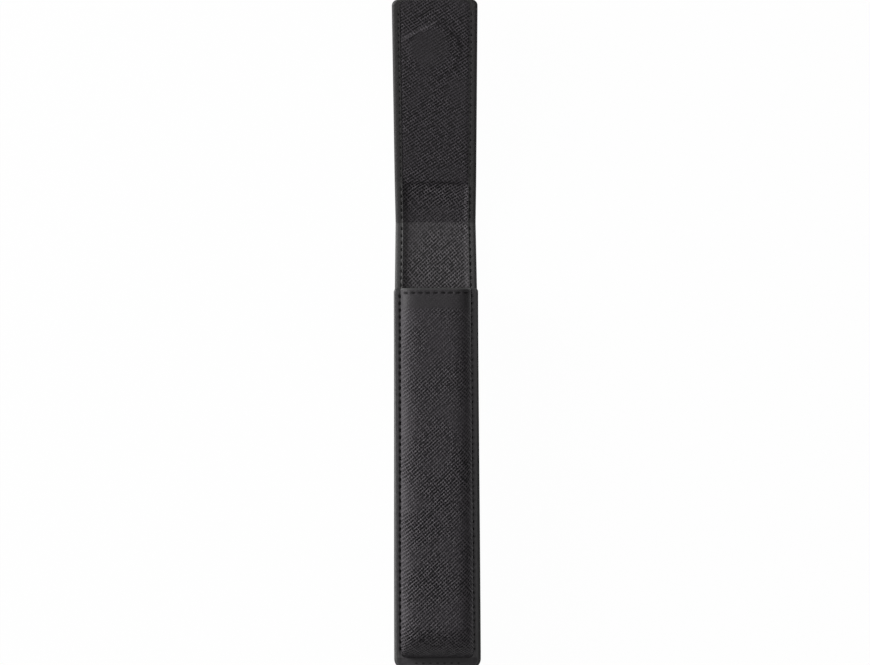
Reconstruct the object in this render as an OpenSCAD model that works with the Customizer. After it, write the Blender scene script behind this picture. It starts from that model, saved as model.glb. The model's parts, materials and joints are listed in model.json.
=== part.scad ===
// Sleeve for a single pen, in cross-grain leather, lying on its back with its flap folded open.
// X runs across the sleeve, Y along it towards the flap, and Z up out of the pocket's front.
// The origin is the middle of the back panel's resting face.

/* [Sleeve] */
// Length of the back panel, from its bottom edge to the lower crease
body_len = 158; // [140:1:190]
// Width over the pocket's sewn margins
seam_w = 30.2; // [29:0.1:40]
// Width of the neck at the lower crease
neck_w = 28.4; // [27:0.1:38]
// Length of the open neck, from the pocket's mouth edge to the lower crease
neck_len = 24; // [14:1:40]
// Thickest pen that the pocket takes
pen_d = 11.2; // [8:0.1:16]
// Radius of the bottom corners
bottom_r = 5; // [3:0.5:7]

/* [Flap] */
// Length of the flap, from the upper crease to its tip
flap_len = 65; // [58:1:90]
// Width of the flap at the upper crease
crease_w = 28.9; // [27:0.1:38]
// Width of the flap at its tip
tip_w = 30.2; // [28:0.1:40]
// Radius of the corners at the flap's tip
tip_r = 2.2; // [1:0.1:4]
// Angle by which the opened strip and flap stand up from the back
open_rise = 10; // [0:1:20]
// Clearance between the closed flap and the pocket's front
closed_gap = 0.4; // [0.3:0.1:2]
// Slit between the panels at each crease
crease_gap = 0.3; // [0.2:0.05:0.6]

/* [Skins and boards] */
// Thickness of the outer leather
leather_t = 1.0; // [0.8:0.1:1.5]
// Thickness of the leather turned over at the side margins
turn_t = 0.6; // [0.4:0.1:1]
// Width of the turned margins
turn_w = 3.0; // [2.6:0.1:4]
// Thickness of the lining
lining_t = 0.6; // [0.4:0.1:1]
// Thickness of the stiffening boards
board_t = 0.6; // [0.5:0.1:1]

/* [Moulded front] */
// Width of the sewn margin between the pocket's edge and its moulded wall
margin_w = 2.6; // [2.5:0.1:4]
// Squareness of the moulded section: 2 is round, 9 is a box with tight shoulders
squareness = 5; // [4:0.5:9]
// Width of the sewn margin below the moulded heel
heel_margin = 4; // [3:0.5:6]
// Length over which the heel rises to the plateau
heel_len = 10.6; // [8:0.2:20]
// Length of the dip towards the mouth edge
lip_len = 7; // [5:0.5:12]
// Depth of the dip at the mouth edge
lip_drop = 1.0; // [0:0.1:1.5]
// Radius of the front's corners at the mouth
mouth_r = 1.3; // [0.8:0.1:1.6]

/* [Closure] */
// Diameter of the magnet in the flap
magnet_d = 17; // [10:0.5:18]
// Height by which the magnet lifts the flap's lining
magnet_rise = 0.4; // [0.2:0.1:0.8]
// Distance from the flap's tip to the magnet's centre
magnet_inset = 18; // [14:1:24]
// Diameter of the steel keeper in the front
keeper_d = 11; // [8:0.5:12]

/* [Stitches] */
// Distance from one stitch to the next along a seam
stitch_pitch = 2.5; // [2:0.1:4]
// Distance from one stitch to the next along the mouth edge
mouth_pitch = 2.65; // [2:0.05:4]
// Length of thread that shows in one stitch
stitch_len = 1.9; // [1:0.1:1.9]
// Thickness of the thread
thread_d = 0.5; // [0.3:0.05:0.6]
// Distance from an edge to its seam
stitch_inset = 2.2; // [2:0.1:2.4]
// Distance from the mouth edge to its row of stitches
mouth_inset = 1.2; // [1:0.1:2]
// Slant of the stitches against their seam, in degrees
stitch_slant = 6; // [0:1:12]

/* [Hidden] */

// Clearance around a tucked or glued-in piece
tuck_gap = 0.05;
// Free play above the front's board, under the crowned leather
crown_play = 0.2;
// Gap left between a board and the end of its panel
board_inset = 1;
// Least width of board left at each side of the keeper's hole
keeper_web = 0.4;
// Distance of the first and last stitch from the end of a seam
seam_end = 1.6;
// How far the back's edge lies inside the front's edge
edge_step = 0.1;
// Length below the mouth over which the back starts to narrow towards the neck
taper_len = 25;
// Distance from the mouth at which the back's board ends
back_board_end = 12;
// Exponent of the heel's rise along the sleeve
heel_power = 1.8;
// Shares of the dip's length at which the moulded surface bends
lip_shares = [1, 0.64, 0.36];
// Rounding of the front's painted edge
edge_r = 0.4;
// Least flat margin beside the moulded heel's corners
foot_clear = 0.2;
// Angle between the section's points
arch_step = 7.5;
// How far a cutting shape reaches past what it cuts
overcut = 1;

// Height of a turned margin, and of the pocket's floor over its board
laminate_t = leather_t + lining_t + turn_t;
floor_z = leather_t + board_t + lining_t;
fold_z = max(laminate_t, floor_z);
fold_r = laminate_t / 2;
// Heights in the moulded front
flange_z = laminate_t + leather_t;
crown_z = floor_z + pen_d + lining_t + board_t + leather_t;
foot_half = seam_w / 2 - margin_w;
// Radius of the moulded heel's corners, seen from above
foot_r = bottom_r + edge_r + foot_clear - margin_w;
// Half the width of the front's board, inside the shoulders and round the keeper's hole
front_board_half = max(foot_half / 2, keeper_d / 2 + tuck_gap + keeper_web);
mouth_y = body_len - neck_len;
// The strip between the creases spans the thickness that the flap wraps
strip_len = crown_z + closed_gap + magnet_rise - fold_z;
// The magnet's place along the flap, and the keeper's where the closed flap brings it down
magnet_reach = flap_len - magnet_inset;
keeper_y = body_len - magnet_reach;

leather_colour = "#2f2d30";
lining_colour = "#39363a";
board_colour = "#8d7a5c";
thread_colour = "#1c1b1d";
steel_colour = "#a9abad";

// Half widths of the panels, as functions of the distance along them

function corner_cut(d, r) = d < r ? r - sqrt(r * r - pow(r - max(d, 0), 2)) : 0;

function back_straight(y) =
    let (start = mouth_y - taper_len, wide = seam_w / 2 - edge_step, narrow = neck_w / 2)
    y < start ? wide : wide + (narrow - wide) * (y - start) / (body_len - start);

function back_half(y) = back_straight(y) - corner_cut(y, bottom_r);

function front_half(y) =
    seam_w / 2 - corner_cut(y, bottom_r) - corner_cut(mouth_y - y, mouth_r);

function strip_half(y) = (neck_w + (crease_w - neck_w) * y / strip_len) / 2;

function flap_half(y) =
    (crease_w + (tip_w - crease_w) * y / flap_len) / 2 - corner_cut(flap_len - y, tip_r);

// Places along the panels at which their outlines bend

bottom_ys = [for (a = [0:22.5:67.5]) bottom_r * (1 - cos(a))];
tip_ys = [for (a = [0:15:90]) flap_len - tip_r * (1 - sin(a))];
back_ys = concat(bottom_ys, [bottom_r, mouth_y - taper_len, body_len - crease_gap / 2]);
strip_ys = [crease_gap / 2, strip_len - crease_gap / 2];
flap_ys = concat([crease_gap / 2], tip_ys);

function backwards(list) = [for (i = [len(list) - 1:-1:0]) list[i]];

// A closed outline or section from its right half

function mirrored(right) =
    concat(right, [for (i = [len(right) - 1:-1:0]) [-right[i][0], right[i][1]]]);

// Faces of a skin through a row of closed sections with n points each

function skin_faces(n, last) = [
    for (i = [0:last - 1]) for (j = [0:n - 1])
        let (a = i * n + j, b = i * n + (j + 1) % n)
        each [[a, b, b + n], [a, b + n, a + n]]
];

// Solid through a row of sections, each a list of [x, z] at its own y, closed by a cap's triangles

module loft(sections, ys, cap) {
    n = len(sections[0]);
    last = len(ys) - 1;
    points = [for (i = [0:last]) for (p = sections[i]) [p[0], ys[i], p[1]]];
    start_cap = [for (face = cap) backwards(face)];
    end_cap = [for (face = cap) [for (j = face) last * n + j]];
    polyhedron(points, concat(skin_faces(n, last), start_cap, end_cap));
}

// Shell between an outside and an inside that have the same number of points at each y

module shell_loft(outsides, insides, ys) {
    m = len(outsides[0]);
    n = 2 * m;
    last = len(ys) - 1;
    points = [
        for (i = [0:last]) for (p = concat(outsides[i], backwards(insides[i]))) [p[0], ys[i], p[1]]
    ];
    caps = [
        for (j = [0:m - 2])
            let (a = j, b = j + 1, c = n - 2 - j, d = n - 1 - j, top = last * n)
            each [[a, d, c], [a, c, b], [top + a, top + b, top + c], [top + a, top + c, top + d]]
    ];
    polyhedron(points, concat(skin_faces(n, last), caps));
}

// Section of a leather panel whose sides are turned over onto the lining's edges

function turned_section(half) =
    let (
        centre = half - fold_r,
        bend = [for (a = [-90:30:90]) [centre + fold_r * cos(a), fold_r + fold_r * sin(a)]],
        slot_z = leather_t + lining_t,
        slot_half = half - leather_t
    )
    mirrored(concat(bend, [
        [half - turn_w, laminate_t], [half - turn_w, slot_z], [slot_half, slot_z], [slot_half, leather_t]
    ]));

// Its end is closed by fans about the slot's corners, points 9 and 10, and by the web between the folds
fold_fans = concat(
    [for (i = [0:2]) [10, i, i + 1]],
    [[10, 3, 9]],
    [for (i = [3:5]) [9, i, i + 1]],
    [[9, 6, 7], [9, 7, 8]]
);
turned_cap = concat(
    fold_fans,
    [for (face = fold_fans) [21 - face[0], 21 - face[2], 21 - face[1]]],
    [[0, 10, 11], [0, 11, 21]]
);

// Half width of the lining that lies in such a panel
function lining_half(half) = half - leather_t - tuck_gap;

module turned_panel(halves, ys) {
    loft([for (half = halves) turned_section(half)], ys, turned_cap);
}

// A flat sheet with sides at the given half widths

module sheet(halves, ys, bottom, thickness) {
    translate([0, 0, bottom])
        linear_extrude(thickness)
            polygon(mirrored([for (i = [0:len(ys) - 1]) [halves[i], ys[i]]]));
}

// Where each body's pieces lie

module on_back() {
    translate([0, -body_len / 2, 0]) children();
}

module on_strip() {
    on_back()
        translate([0, body_len, fold_z])
            rotate([open_rise, 0, 0])
                translate([0, 0, -fold_z]) children();
}

module on_flap() {
    on_strip() translate([0, strip_len, 0]) children();
}

// The moulded front's surfaces

function lip_dip(y) =
    let (start = mouth_y - lip_len) y > start ? lip_drop * pow((y - start) / lip_len, 2) : 0;

// Share of the full height that the heel has reached, for a surface inset from the leather
function heel_rise(y, inset) =
    let (u = (heel_margin + inset + heel_len - y) / heel_len)
    u >= 1 ? 0 : u <= 0 ? 1 : pow(1 - pow(u, heel_power), 1 / heel_power);

function arch_half(y, inset) =
    foot_half - inset - corner_cut(y - heel_margin - inset, foot_r);

function arch_top(y, base, inset, depth) =
    base + (crown_z - depth - lip_dip(y) - base) * heel_rise(y, inset);

// Points over one moulded surface, from its right foot to its left foot
function arch(y, base, inset, depth) =
    let (half = arch_half(y, inset), rise = arch_top(y, base, inset, depth) - base)
    [for (a = [0:arch_step:180]) [
        half * sign(cos(a)) * pow(abs(cos(a)), 2 / squareness),
        base + rise * pow(abs(sin(a)), 2 / squareness)
    ]];

// The front's edge at one side: its rounded outside, then as many points on its underside
function front_edge(y, side) =
    let (half = front_half(y), bevel = edge_r * (1 - cos(45)))
    [
        [side * half, flange_z - edge_r],
        [side * (half - bevel), flange_z - bevel],
        [side * (half - edge_r), flange_z]
    ];

function front_underside(y, side) =
    let (half = front_half(y))
    [for (step = [0:2]) [side * (half - step * edge_r / 2), laminate_t]];

function front_outside(y) =
    concat(front_edge(y, 1), arch(y, flange_z, 0, 0), backwards(front_edge(y, -1)));

function front_inside(y) = concat(
    front_underside(y, 1),
    arch(y, laminate_t, leather_t, leather_t),
    backwards(front_underside(y, -1))
);

lining_inset = leather_t + tuck_gap;
lining_depth = leather_t + board_t;

function lining_outside(y) = arch(y, laminate_t, lining_inset, lining_depth);

function lining_inside(y) =
    arch(y, laminate_t, lining_inset + lining_t, lining_depth + lining_t);

// Places along the heel, from its foot to the plateau, for a surface with an inset
function heel_ys(first, inset) =
    [for (a = [first:15:90]) heel_margin + inset + heel_len * (1 - cos(a))];

lip_ys = [for (share = lip_shares) mouth_y - share * lip_len];
front_ys = concat(
    bottom_ys, heel_ys(0, 0), [heel_margin + heel_len + leather_t], lip_ys,
    [for (a = [0:30:90]) mouth_y - mouth_r * (1 - sin(a))]
);
lining_ys = concat(heel_ys(15, leather_t + tuck_gap + lining_t), lip_ys, [mouth_y]);

// Stitches: a half-round length of thread that lies on the surface, along Y

module stitch(slant) {
    rotate([90, 0, slant])
        linear_extrude(stitch_len, center = true)
            intersection() {
                circle(d = thread_d, $fn = 24);
                translate([-thread_d / 2, 0]) square([thread_d, thread_d / 2]);
            }
}

// Even places for stitches between two ends of a seam
function seam_ys(low, high) =
    let (count = floor((high - low) / stitch_pitch), spare = (high - low - count * stitch_pitch) / 2)
    [for (i = [0:count]) low + spare + i * stitch_pitch];

module seam(xs, ys, z) {
    for (i = [0:len(ys) - 1])
        translate([xs[i], ys[i], z]) stitch(stitch_slant);
}

module twin_seam(xs, ys, z) {
    seam(xs, ys, z);
    mirror([1, 0, 0]) seam(xs, ys, z);
}

// The back

module back_leather() {
    color(leather_colour)
        on_back() turned_panel([for (y = back_ys) back_half(y)], back_ys);
}

back_board_ys = [heel_margin + board_inset, mouth_y - back_board_end];
back_board_half = foot_half - leather_t - 2 * lining_t - 2 * tuck_gap;

module back_board_solid() {
    sheet([back_board_half, back_board_half], back_board_ys, leather_t, board_t);
}

module back_board() {
    color(board_colour) on_back() back_board_solid();
}

module back_lining() {
    raised_half = back_board_half + lining_t;
    raised_ys = [back_board_ys[0] - lining_t, back_board_ys[1] + lining_t];
    color(lining_colour)
        on_back() difference() {
            union() {
                sheet([for (y = back_ys) lining_half(back_half(y))], back_ys, leather_t, lining_t);
                sheet([raised_half, raised_half], raised_ys, leather_t + board_t / 2, lining_t + board_t / 2);
            }
            back_board_solid();
        }
}

module neck_stitches() {
    ys = seam_ys(mouth_y + seam_end, body_len - seam_end);
    xs = [for (y = ys) back_half(y) - stitch_inset];
    color(thread_colour) on_back() twin_seam(xs, ys, laminate_t);
}

// The moulded front

module front_leather() {
    color(leather_colour)
        on_back()
            shell_loft([for (y = front_ys) front_outside(y)], [for (y = front_ys) front_inside(y)], front_ys);
}

front_board_z = crown_z - leather_t - board_t;
front_board_t = board_t - crown_play;

module front_board() {
    low = heel_margin + heel_len + leather_t + board_inset;
    high = mouth_y - lip_len - board_inset;
    color(board_colour)
        on_back() difference() {
            sheet([front_board_half, front_board_half], [low, high], front_board_z, front_board_t);
            translate([0, keeper_y, front_board_z - overcut])
                cylinder(d = keeper_d + 2 * tuck_gap, h = board_t + 2 * overcut, $fn = 64);
        }
}

module keeper_plate() {
    color(steel_colour)
        on_back() translate([0, keeper_y, front_board_z])
            cylinder(d = keeper_d, h = front_board_t, $fn = 64);
}

module front_lining() {
    color(lining_colour)
        on_back()
            shell_loft(
                [for (y = lining_ys) lining_outside(y)],
                [for (y = lining_ys) lining_inside(y)],
                lining_ys
            );
}

// Height and lean of the moulded surface at a place near the mouth edge
function crown_at(x, y) =
    flange_z + (crown_z - lip_dip(y) - flange_z)
    * pow(1 - pow(abs(x) / foot_half, squareness), 1 / squareness);

module mouth_stitches() {
    y = mouth_y - mouth_inset;
    count = floor((foot_half - edge_r - stitch_len / 2) / mouth_pitch);
    probe = stitch_len / 4;
    color(thread_colour)
        on_back() for (i = [-count:count]) {
            x = i * mouth_pitch;
            fall = crown_at(x - probe, y) - crown_at(x + probe, y);
            translate([x, y, crown_at(x, y) + tuck_gap])
                rotate([0, atan2(fall, 2 * probe), 0])
                    rotate([0, 0, 90]) stitch(0);
        }
}

seam_low = bottom_r + seam_end;
side_ys = seam_ys(seam_low, mouth_y - seam_end);
side_xs = [for (y = side_ys) seam_w / 2 - stitch_inset];

module right_seam_stitches() {
    color(thread_colour) on_back() seam(side_xs, side_ys, flange_z);
}

module left_seam_stitches() {
    color(thread_colour) on_back() mirror([1, 0, 0]) seam(side_xs, side_ys, flange_z);
}

module bottom_seam_stitches() {
    reach = seam_w / 2 - bottom_r - seam_end;
    color(thread_colour)
        on_back() for (x = seam_ys(-reach, reach))
            translate([x, heel_margin / 2, flange_z]) rotate([0, 0, 90]) stitch(0);
}

// The strip between the creases

module strip_leather() {
    color(leather_colour)
        on_strip() turned_panel([for (y = strip_ys) strip_half(y)], strip_ys);
}

module strip_lining() {
    color(lining_colour)
        on_strip()
            sheet([for (y = strip_ys) lining_half(strip_half(y))], strip_ys, leather_t, lining_t);
}

module strip_stitches() {
    ys = seam_ys(seam_end, strip_len - seam_end);
    xs = [for (y = ys) strip_half(y) - stitch_inset];
    color(thread_colour) on_strip() twin_seam(xs, ys, laminate_t);
}

// The flap

module flap_leather() {
    color(leather_colour)
        on_flap() turned_panel([for (y = flap_ys) flap_half(y)], flap_ys);
}

// The flap's board ends short of the crease and the tip, and lies inside the turned margins
flap_board_ys = [crease_gap / 2 + board_inset, flap_len - tip_r, flap_len - board_inset];
function panel_half(y) = flap_half(y) - turn_w - tuck_gap;

module flap_board_blank() {
    sheet([for (y = flap_board_ys) panel_half(y) - lining_t], flap_board_ys, leather_t, board_t);
}

module magnet_blank(play) {
    translate([0, magnet_reach, leather_t])
        cylinder(d = magnet_d + 2 * play, h = board_t + magnet_rise, $fn = 96);
}

module flap_board() {
    color(board_colour)
        on_flap() difference() {
            flap_board_blank();
            magnet_blank(tuck_gap);
        }
}

module flap_magnet() {
    color(steel_colour) on_flap() magnet_blank(0);
}

module flap_lining() {
    ramp = lining_t + 2 * magnet_rise;
    color(lining_colour)
        on_flap() difference() {
            union() {
                sheet([for (y = flap_ys) lining_half(flap_half(y))], flap_ys, leather_t, lining_t);
                sheet([for (y = flap_ys) panel_half(y)], flap_ys, leather_t + board_t / 2, lining_t + board_t / 2);
                translate([0, magnet_reach, floor_z])
                    cylinder(d1 = magnet_d + 2 * ramp, d2 = magnet_d, h = magnet_rise, $fn = 96);
            }
            flap_board_blank();
            magnet_blank(tuck_gap);
        }
}

module flap_stitches() {
    ys = seam_ys(seam_end, flap_len - tip_r - seam_end);
    xs = [for (y = ys) flap_half(y) - stitch_inset];
    color(thread_colour) on_flap() twin_seam(xs, ys, laminate_t);
}

back_leather();
back_board();
back_lining();
neck_stitches();
front_leather();
front_board();
front_lining();
keeper_plate();
mouth_stitches();
left_seam_stitches();
right_seam_stitches();
bottom_seam_stitches();
strip_leather();
strip_lining();
strip_stitches();
flap_leather();
flap_board();
flap_lining();
flap_magnet();
flap_stitches();
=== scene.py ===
# %% [markdown]
# A leather sleeve for one pen lies on its back with its flap folded open.
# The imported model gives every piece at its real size, in metres, and this lesson dresses it.
# Rigid inner pieces keep their own solids, and the leather, the lining and the stitches are
# modelled anew, because their soft shape and their sewing are what the eye sees first.

# %% Load the frame
import json
import math

import bmesh
import bpy
from mathutils import Euler, Matrix, Vector
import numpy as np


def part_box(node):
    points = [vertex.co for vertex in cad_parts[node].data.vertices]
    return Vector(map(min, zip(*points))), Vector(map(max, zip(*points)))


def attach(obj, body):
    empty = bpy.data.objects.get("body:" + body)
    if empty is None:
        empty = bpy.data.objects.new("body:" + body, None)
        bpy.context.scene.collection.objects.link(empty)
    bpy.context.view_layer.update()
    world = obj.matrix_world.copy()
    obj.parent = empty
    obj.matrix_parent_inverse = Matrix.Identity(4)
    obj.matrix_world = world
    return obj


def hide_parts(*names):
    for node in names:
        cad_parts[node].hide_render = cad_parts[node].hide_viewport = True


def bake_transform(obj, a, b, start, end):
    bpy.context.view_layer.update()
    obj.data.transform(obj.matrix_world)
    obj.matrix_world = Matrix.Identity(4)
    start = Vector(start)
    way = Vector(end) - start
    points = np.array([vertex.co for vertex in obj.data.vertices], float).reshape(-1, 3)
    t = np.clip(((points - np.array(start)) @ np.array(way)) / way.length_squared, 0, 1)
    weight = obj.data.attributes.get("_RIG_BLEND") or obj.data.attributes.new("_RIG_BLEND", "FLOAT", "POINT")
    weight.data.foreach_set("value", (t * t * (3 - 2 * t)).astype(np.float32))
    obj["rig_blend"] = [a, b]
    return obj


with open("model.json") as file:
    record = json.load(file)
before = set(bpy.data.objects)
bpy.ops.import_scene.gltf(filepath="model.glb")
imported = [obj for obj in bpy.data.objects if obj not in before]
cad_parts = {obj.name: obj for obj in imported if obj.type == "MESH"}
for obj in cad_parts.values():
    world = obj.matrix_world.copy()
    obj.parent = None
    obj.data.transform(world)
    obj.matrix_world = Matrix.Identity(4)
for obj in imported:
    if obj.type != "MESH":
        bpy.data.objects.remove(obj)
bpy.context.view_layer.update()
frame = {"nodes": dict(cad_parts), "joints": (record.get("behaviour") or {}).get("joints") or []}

# %% [markdown]
# The sleeve is thought of in millimetres, as its maker would, and goes to metres at the end.
# The lengths below come from the solids' boxes and from the two creases, so they follow the
# model: the back ends at the lower crease, and the front begins at the same bottom edge.

# %% Read the main sizes from the frame
MM = 0.001
creases = {joint["name"]: joint for joint in frame["joints"]}
lower_crease = Vector(creases["lower_crease"]["pos_m"]) / MM
upper_crease = Vector(creases["upper_crease"]["pos_m"]) / MM
bottom_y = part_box("back_leather")[0].y / MM
body_len = lower_crease.y - bottom_y
strip_len = (upper_crease - lower_crease).length
rise = math.atan2(upper_crease.z - lower_crease.z, upper_crease.y - lower_crease.y)
flap_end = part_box("flap_leather")[1] / MM
flap_len = (flap_end.y - upper_crease.y) / math.cos(rise)
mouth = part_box("front_leather")[1].y / MM - bottom_y
seam_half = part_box("front_leather")[1].x / MM
back_half_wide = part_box("back_leather")[1].x / MM
tip_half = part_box("flap_leather")[1].x / MM
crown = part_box("front_leather")[1].z / MM
margin_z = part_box("back_leather")[1].z / MM
print(f"body {body_len:.1f}, strip {strip_len:.1f}, flap {flap_len:.1f}, mouth at {mouth:.1f} mm")

# %% [markdown]
# Thin goods are made of few layers, and each layer's thickness is set here once.
# The outer leather is one millimetre thick and is thinned where it is turned over at the sides.
# A place along the sleeve is given by how far it lies from the bottom edge, measured over the
# flat pattern, so the strip and the flap simply follow the back.

# %% Name the layers and margins
leather = 1.0
turned = 0.6
lining = 0.6
turn_w = 2.75
fold_r = (leather + lining + turned) / 2
flange_z = margin_z + leather
# Half widths at the lower and the upper crease, and the length over which the back narrows
neck_half = 14.2
crease_half = 14.45
taper_len = 25
# Radii of the corners at the bottom, at the flap's tip and at the mouth
corner_r = 3.5
tip_r = 2.2
mouth_r = 1.3
# Where the upper crease, the flap's tip and the middle of the strip lie on the flat pattern
flap_start = body_len + strip_len
flap_stop = flap_start + flap_len
split = body_len + strip_len / 2
print(f"the margins are {margin_z:.1f} mm thick and the front's flange is {flange_z:.1f} mm up")

# %% [markdown]
# The camera looks straight down on the sleeve, as the photograph does. Its distance is long,
# so that the raised flap is only a little larger than the neck. A small roll gives the lean.

# %% Place the camera
image_w, image_h = 870, 665
# Millimetres a pixel, the column of the sleeve's middle, and the row of its bottom edge, which
# lies just below the picture
pixel = 0.3543
axis_px = 436.1
bottom_px = 668.8
far = 2500
film_w = 36
roll = math.radians(-0.25)
camera_data = bpy.data.cameras.new("camera")
camera_data.sensor_width = film_w
camera_data.lens = film_w * far / (image_w * pixel)
camera = bpy.data.objects.new("camera", camera_data)
centre_x = (image_w / 2 - axis_px) * pixel
centre_y = bottom_y + (bottom_px - image_h / 2) * pixel
camera.location = Vector((centre_x, centre_y, far + flange_z)) * MM
camera.rotation_euler = Euler((0, 0, roll))
bpy.context.scene.collection.objects.link(camera)
bpy.context.scene.camera = camera
bpy.context.scene.view_settings.view_transform = "Standard"
print(f"the lens is {camera_data.lens:.0f} mm long")

# %% [markdown]
# Black leather shows its shape by what it mirrors. One large soft lamp stands low at the left,
# a little towards the flap, so the left walls shine and the right ones stay dark. A second one
# hangs nearly overhead, slightly to the right, and the world fills in the rest. A level of 1
# would light a surface that faces the lamp so that its colour is seen as written, and the two
# lamps and the world together do about that for a level surface.

# %% Light the table
lit_point = Vector((0, 0.03, 0))
world_level = 0.12


def soft_lamp(name, azimuth, elevation, distance, size, level):
    around, up = math.radians(azimuth), math.radians(elevation)
    toward = Vector((-math.cos(around) * math.cos(up), math.sin(around) * math.cos(up), math.sin(up)))
    data = bpy.data.lights.new(name, "AREA")
    data.shape = "DISK"
    data.size = size
    data.energy = level * math.pi ** 2 * distance ** 2
    lamp = bpy.data.objects.new(name, data)
    lamp.location = lit_point + toward * distance
    lamp.rotation_euler = (-toward).to_track_quat("-Z", "Y").to_euler()
    bpy.context.scene.collection.objects.link(lamp)
    print(f"{name} gives {data.energy:.0f} W")


soft_lamp("low_left", 18, 15, 1.4, 0.7, 2.3)
soft_lamp("high", 160, 76, 1.6, 1.0, 0.37)

world = bpy.data.worlds.new("studio")
world.use_nodes = True
world.node_tree.nodes["Background"].inputs["Color"].default_value = (1, 1, 1, 1)
world.node_tree.nodes["Background"].inputs["Strength"].default_value = world_level
bpy.context.scene.world = world

# %% [markdown]
# Materials are built from nodes. Three small helpers keep the trees short: one begins a
# material, one sets a socket to a value or links it to another node, and one adds a node.

# %% Begin a material and add nodes
def shader(name):
    material = bpy.data.materials.new(name)
    material.use_nodes = True
    return material, material.node_tree, material.node_tree.nodes["Principled BSDF"]


def plug(tree, socket, value):
    if isinstance(value, bpy.types.NodeSocket):
        tree.links.new(value, socket)
    elif value is not None:
        socket.default_value = value


def add_node(tree, kind, sockets=None, **settings):
    node = tree.nodes.new(kind)
    for key, value in settings.items():
        setattr(node, key, value)
    for key, value in (sockets or {}).items():
        plug(tree, node.inputs[key], value)
    return node


# %% [markdown]
# The rest are the few steps that every leather needs: sums, a value spread over a new span,
# soft noise, and two colours mixed by a factor.

# %% Sums, noise and mixed colours
def calc(tree, operation, first, second=None):
    node = add_node(tree, "ShaderNodeMath", operation=operation)
    plug(tree, node.inputs[0], first)
    plug(tree, node.inputs[1], second)
    return node.outputs[0]


def remap(tree, value, low, high, out_low, out_high):
    node = add_node(tree, "ShaderNodeMapRange", {
        "Value": value, "From Min": low, "From Max": high, "To Min": out_low, "To Max": out_high,
    })
    return node.outputs[0]


def mottle(tree, vector, scale, detail=2.0, roughness=0.5):
    node = add_node(tree, "ShaderNodeTexNoise", {
        "Vector": vector, "Scale": scale, "Detail": detail, "Roughness": roughness,
    })
    return node.outputs["Fac"]


def blended(tree, factor, first, second):
    """Two colours, or two nodes' colours, mixed by a factor."""
    node = add_node(tree, "ShaderNodeMix", data_type="RGBA")
    for index, value in ((0, factor), (6, first), (7, second)):
        plug(tree, node.inputs[index], value)
    return node.outputs[2]


def opaque(colour, share=1.0):
    return (*[share * channel for channel in colour], 1)


# %% [markdown]
# The leather is pressed with a cross grain: two sets of fine ridges that run across each other
# and break each other into beads. The ridges' places are stored in the mesh's own UV map, one
# unit to a ridge, so the grain follows the moulded walls and bends with the flap. An attribute
# says how deep the press went, since turned margins and the pocket's lip are almost smooth.

# %% The height of the cross grain
# How far a ridge wanders, as a share of the noise, and where a ridge's foot begins on its wave
wander_share = 0.9
ridge_foot = -0.6


def furrows(tree, lattice, across, wander_scale, bead_scale, bead_low):
    """The low places beside one set of ridges, which wander a little and break into beads."""
    wander = calc(tree, "MULTIPLY", mottle(tree, lattice, wander_scale, 3.0), wander_share)
    turns = calc(tree, "MULTIPLY", calc(tree, "ADD", across, wander), 2 * math.pi)
    wave = remap(tree, calc(tree, "COSINE", turns), ridge_foot, 1, 0, 1)
    bead = remap(tree, mottle(tree, lattice, bead_scale, 1.0), 0.36, 0.62, bead_low, 1.0)
    return calc(tree, "SUBTRACT", 1.0, calc(tree, "MULTIPLY", wave, bead))


def grain_relief(tree, lattice, pressed):
    """The grain's height around its middle, as deep as the press went at each place."""
    ways = add_node(tree, "ShaderNodeSeparateXYZ", {"Vector": lattice}).outputs
    rising_gaps = furrows(tree, lattice, ways["X"], 0.13, 0.75, 0.35)
    falling_gaps = furrows(tree, lattice, ways["Y"], 0.11, 0.62, 0.1)
    height = calc(tree, "SUBTRACT", 1.0, calc(tree, "MULTIPLY", rising_gaps, falling_gaps))
    patches = remap(tree, mottle(tree, lattice, 0.07, 2.0), 0.38, 0.6, 0.45, 1.0)
    contrast = calc(tree, "MULTIPLY", pressed, patches)
    return calc(tree, "MULTIPLY", calc(tree, "SUBTRACT", height, 0.5), contrast)


# %% [markdown]
# The same height also sets the colour: the pits are painted dark as painted shade, and the ridges lighter as
# painted light.
# Where the press left the leather smooth, a cloudy even colour takes over. The ridges are worn
# smoother than the pits, and fine crumbs between them keep the highlights broken.

# %% Cross-grain leather
grain_rough = 0.46
grain_shine = 0.11
crumb_share = 0.3


def grained(name, pit, ridge, smooth, depth):
    material, tree, bsdf = shader(name)
    lattice = add_node(tree, "ShaderNodeUVMap", uv_map="grain").outputs["UV"]
    pressed = add_node(tree, "ShaderNodeAttribute", attribute_name="pressed").outputs["Fac"]
    relief = grain_relief(tree, lattice, pressed)
    tone = calc(tree, "ADD", relief, 0.4)
    # The pits' dark colour is painted shade and the ridges' lighter colour painted light, mixed by the
    # grain's height.
    grain_colour = blended(tree, tone, opaque(pit), opaque(ridge))
    clouds = mottle(tree, lattice, 0.9, 4.0, 0.7)
    smooth_colour = blended(tree, clouds, opaque(smooth, 0.6), opaque(smooth, 1.4))
    share = remap(tree, pressed, 0.2, 0.8, 0, 1)
    plug(tree, bsdf.inputs["Base Color"], blended(tree, share, smooth_colour, grain_colour))
    rough = remap(tree, tone, 0, 1, grain_rough + 0.1, grain_rough - 0.08)
    plug(tree, bsdf.inputs["Roughness"], rough)
    bsdf.inputs["Specular IOR Level"].default_value = grain_shine
    crumbs = calc(tree, "MULTIPLY", mottle(tree, lattice, 2.6, 2.0, 0.6), crumb_share)
    bump = add_node(tree, "ShaderNodeBump", {
        "Strength": 1.0, "Distance": depth * MM, "Height": calc(tree, "ADD", relief, crumbs),
    })
    plug(tree, bsdf.inputs["Normal"], bump.outputs["Normal"])
    return material
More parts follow.
